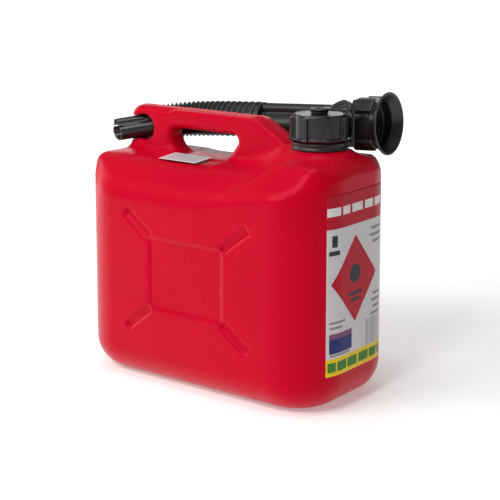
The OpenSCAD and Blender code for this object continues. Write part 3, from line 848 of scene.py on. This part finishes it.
def barrel_shape(u, v, t):
    """The pouring tube runs below the vent tube, and a fillet joins them."""
    (tube_r, tube_bore, tube_up), (vent_r, vent_bore) = BARREL_TUBE, BARREL_VENT
    rad = np.hypot(u, v)
    out = join(np.hypot(u, v - tube_up) - tube_r, np.hypot(u, v - BARREL_VENT_UP) - vent_r, 2.2)
    out = meet(out, slab(t, 0, COLLAR_END + 2), 0.5)
    first = meet(rad - COLLAR_R, slab(t, 0, 4), 0.7)
    first = cut(first, np.hypot(rad - COLLAR_GROOVE_R, t - 2.0) - COLLAR_GROOVE_SIZE, 0.2)
    last = meet(rad - COLLAR_R, slab(t, COLLAR_END - 3, NECK_END), 0.6)
    disc = meet(rad - RIM_DISC_R, slab(t, NECK_END - 0.5, NECK_END + 2.5), 0.4)
    spigot = meet(rad - SPIGOT_R, slab(t, -6, 0.5), 0.7)
    out = join(out, np.minimum(first, last), 1.3)
    out = np.minimum(out, np.minimum(disc, spigot))
    out = cut(out, np.maximum(np.hypot(u, v - tube_up) - tube_bore, slab(t, -9, 200)), 0.4)
    return cut(out, np.maximum(np.hypot(u, v - BARREL_VENT_BORE_UP) - vent_bore, slab(t, -9, 200)), 0.3)


nozzle = surface("spout_nozzle_tube", nozzle_shape, (-17.3, -17.3, -5), (17.4, 17.4, 58), FINE,
                 frame_of(NOZZLE_END, NOZZLE_DIR))
finish_piece(nozzle, BLACK, "spout", "black_plastic", "spout_nozzle")

barrel = surface("spout_barrel_tube", barrel_shape, (-20.1, -20.1, -8.2), (20.2, 20.2, NECK_END + 4.4),
                 MIDDLE, frame_of(BARREL_START, BARREL_DIR))
finish_piece(barrel, SATIN, "spout", "black_plastic", "spout_barrel")

CRESTS, ROWS_PER_CREST, HOSE_SIDES = 20, 12, 72
HOSE_R, CREST_HEIGHT, CREST_SHARP, HOSE_WALL = 14.15, 2.25, 1.25, 1.0


def bellows_piece():
    """A hose whose radius goes up and down along the bend, with an inner and an outer skin."""
    rows = CRESTS * ROWS_PER_CREST
    outer, inner = [], []
    for k in range(rows + 1):
        wave = 0.5 - 0.5 * math.cos(TURN * ((k / ROWS_PER_CREST) % 1.0))
        radius = HOSE_R + CREST_HEIGHT * wave ** CREST_SHARP
        point, way = bend_at(k / rows)
        across, up = across_and_up(way)
        angles = [TURN * s / HOSE_SIDES for s in range(HOSE_SIDES)]
        rays = [across * math.cos(a) + up * math.sin(a) for a in angles][::-1]
        outer.append([(point + radius * ray) * MM for ray in rays])
        inner.append([(point + (radius - HOSE_WALL) * ray) * MM for ray in rays])
    return tube("spout_bellows_hose", outer + inner[::-1], closed=True)


bellows = bellows_piece()
finish_piece(bellows, FLEX, "spout", "black_flexible", "spout_bellows")

# ---------------------------------------------------------------- nut

NUT_LUGS, NUT_LUG_START = 4, math.radians(45)
NUT_BACK_R, NUT_GROWTH, NUT_SHOULDER, NUT_LENGTH, NUT_SCALE = 17.8, 4.6, 7, 34, 0.86
FLARE_FROM, FLARE_LENGTH, FLARE_WIDTH, FLARE_POWER = 24, 9, 5.0, 1.7
NUT_LUG_R, NUT_LUG_HALF, NUT_LUG_ROOT, NUT_LUG_SPAN = 25.6, 6.0, 15, (6.5, 27.5)
NUT_HOLE_R, NUT_BORE_R, NUT_BORE_FROM = 16.2, 20.4, 11.2
MOUTH_FROM, MOUTH_LENGTH, MOUTH_WIDTH, MOUTH_SCALE = 25.5, 8.5, 5.2, 0.85
NUT_THREAD = (20.5, 18.95, 15.0, 1)


def nut_shape(u, v, s):
    rad, ang = np.hypot(u, v), np.arctan2(v, u)
    local = wedge(ang, NUT_LUG_START, NUT_LUGS)
    lu, lv = rad * np.cos(local), rad * np.sin(local)
    shoulder = NUT_BACK_R + NUT_GROWTH * np.sin(np.clip(s / NUT_SHOULDER, 0, 1) * math.pi / 2)
    flare = FLARE_WIDTH * np.clip((s - FLARE_FROM) / FLARE_LENGTH, 0, 1) ** FLARE_POWER
    out = meet((rad - shoulder - flare) * NUT_SCALE, slab(s, 0, NUT_LENGTH), 0.7)
    lug = meet(meet(lu - NUT_LUG_R, np.abs(lv) - NUT_LUG_HALF, 0.7), slab(s, *NUT_LUG_SPAN), 1.0)
    out = join(out, np.maximum(lug, NUT_LUG_ROOT - lu), 0.8)
    hole = np.maximum(rad - NUT_HOLE_R, slab(s, -2, 40))
    bore = np.maximum(rad - NUT_BORE_R, slab(s, NUT_BORE_FROM, 50))
    mouth_r = NUT_BORE_R + MOUTH_WIDTH * np.clip((s - MOUTH_FROM) / MOUTH_LENGTH, 0, 1.2)
    mouth = np.maximum((rad - mouth_r) * MOUTH_SCALE, slab(s, 24, 50))
    out = cut(out, np.minimum(np.minimum(hole, bore), mouth), 0.5)
    return np.minimum(out, thread(rad, np.mod(ang, TURN), s, *NUT_THREAD))


nut = surface("spout_nut_moulding", nut_shape, (-28.7, -28.7, -1.5), (28.8, 28.8, 35.8), FINE,
              frame_of(BARREL_START + COLLAR_END * BARREL_DIR, BARREL_DIR))
finish_piece(nut, BLACK, "nut", "black_plastic", "spout_nut")

# ---------------------------------------------------------------- films


def film(name, u_values, v_values, place, lift, thick, normal=None):
    """A thin sheet that lies on the can. place gives a starting point for each point of the sheet.

    With a normal, the sheet is flat and stays at its starting points.
    """
    nu, nv = len(u_values), len(v_values)
    points = np.array([place(u, v) for u in u_values for v in v_values], float)
    if normal is None:
        points = settle(can_shape, points, 4.0, 6)
        g = normals(can_shape, points)
    else:
        g = np.tile(normal, (len(points), 1))
        g /= np.linalg.norm(g, axis=1)[:, None]
    verts = np.vstack([points + g * (lift + thick), points + g * lift]) * MM
    n = nu * nv
    quads = []
    for i in range(nu - 1):
        for j in range(nv - 1):
            a, b, c, d = i * nv + j, (i + 1) * nv + j, (i + 1) * nv + j + 1, i * nv + j + 1
            quads += [(a, b, c, d), (n + d, n + c, n + b, n + a)]
    # the sheet's edges: each is a pair of points on the top, in order round it
    edges = [(i * nv + nv, i * nv) for i in range(nu - 1)]
    edges += [(i * nv + nv - 1, i * nv + 2 * nv - 1) for i in range(nu - 1)]
    edges += [(j, j + 1) for j in range(nv - 1)]
    edges += [(n - nv + j + 1, n - nv + j) for j in range(nv - 1)]
    quads += [(a, b, n + b, n + a) for a, b in edges]
    return quads_object(name, verts, np.array(quads))


def steps(low, high, count):
    return [low + (high - low) * i / (count - 1) for i in range(count)]


def label_start(y, z):
    flat = HALF_D - CORNER
    x = HALF_L if abs(y) < flat else HALF_L - CORNER + math.sqrt(CORNER ** 2 - (abs(y) - flat) ** 2)
    return (x, y, z)


def sticker_start(x, y):
    return (x, y, CROWN_Z + CROWN_FALL * (y + CROWN_FLAT))


label = film("end_label_film", steps(-42, 42, 85), steps(34, 191, 100), label_start, 0.03, 0.12)
finish_piece(label, LABEL, "can", "label_film", "end_label")

sticker = film("top_sticker_film", steps(-58, -15, 44), steps(-36.9, -13.0, 25), sticker_start, 0.04, 0.14,
               (0.0, -0.0811, 0.9967))
finish_piece(sticker, SILVER, "can", "silver_film", "top_sticker")

# ---------------------------------------------------------------- CAD nodes that stay

coat(CAD["vent_tube"], FLEX)
coat(CAD["cap_gasket"], RUBBER)
coat(CAD["spout_gasket"], RUBBER)

# ---------------------------------------------------------------- studio

FLOOR_HALF, FLOOR_Z, FLOOR_GLOW = 9, -0.0002, 0.85
AIM = Vector((0, 0, 0.13))


def floor_material():
    """A pale floor that glows more behind the object, so that it ends without a visible edge."""
    p = Paint("pale_floor")
    tone = p.mix(p.spread(p.noise(3, 3)), grey_tone(0.86), grey_tone(0.89))
    x, y, _ = p.xyz()
    behind = p.math("ADD", p.math("MULTIPLY", x, -0.607), p.math("MULTIPLY", y, 0.795))
    glow = p.mix(p.range(behind, 0.15, 1.4, 0.0, 1.0), grey_tone(0.34), grey_tone(1))
    p.set(Base_Color=tone, Roughness=0.75, Emission_Color=glow, Emission_Strength=FLOOR_GLOW)
    return p.mat


floor_corners = [(x * FLOOR_HALF, y * FLOOR_HALF, FLOOR_Z) for x, y in ((-1, -1), (1, -1), (1, 1), (-1, 1))]
floor = make_object("floor", floor_corners, [(0, 1, 2, 3)], False)
coat(floor, floor_material())


def studio_world():
    """White light from below the horizon, which the floor hides, and a fifth of it from above."""
    world = bpy.data.worlds.new("studio")
    world.use_nodes = True
    nodes, links = world.node_tree.nodes, world.node_tree.links
    down = nodes.new("ShaderNodeVectorMath")
    down.operation = "DOT_PRODUCT"
    down.inputs[1].default_value = (0.0, 0.0, -1.0)
    links.new(nodes.new("ShaderNodeTexCoord").outputs["Generated"], down.inputs[0])
    strength = nodes.new("ShaderNodeMapRange")
    strength.interpolation_type = "SMOOTHSTEP"
    for i, value in enumerate((-0.02, 0.03, 0.2, 1.0), 1):
        strength.inputs[i].default_value = value
    links.new(down.outputs["Value"], strength.inputs[0])
    links.new(strength.outputs[0], nodes["Background"].inputs[1])
    nodes["Background"].inputs[0].default_value = grey_tone(1.0)
    return world


SCENE.world = studio_world()
SCENE.view_settings.view_transform = "Standard"


def soft_light(name, azimuth, elevation, distance, size, power, size_y=None):
    """A rectangular light that faces the object. Azimuth 0 is -Y, and it grows towards +X."""
    data = bpy.data.lights.new(name, "AREA")
    data.shape = "RECTANGLE"
    data.size, data.size_y = size, size_y or size
    data.energy = power
    obj = show(name, data)
    a, e = math.radians(azimuth), math.radians(elevation)
    back = Vector((math.sin(a) * math.cos(e), -math.cos(a) * math.cos(e), math.sin(e)))
    obj.location = AIM + back * distance
    obj.rotation_mode = "QUATERNION"
    obj.rotation_quaternion = (-back).to_track_quat("-Z", "Y")


soft_light("key", -22, 38, 1.7, 0.9, 13)
soft_light("accent", 12, 45, 1.7, 0.34, 8)
soft_light("left", -80, 14, 1.6, 0.4, 5, size_y=1.1)
soft_light("top", 0, 86, 1.5, 0.8, 7)
soft_light("back", 217, 17.5, 1.7, 0.9, 1.6, size_y=0.3)
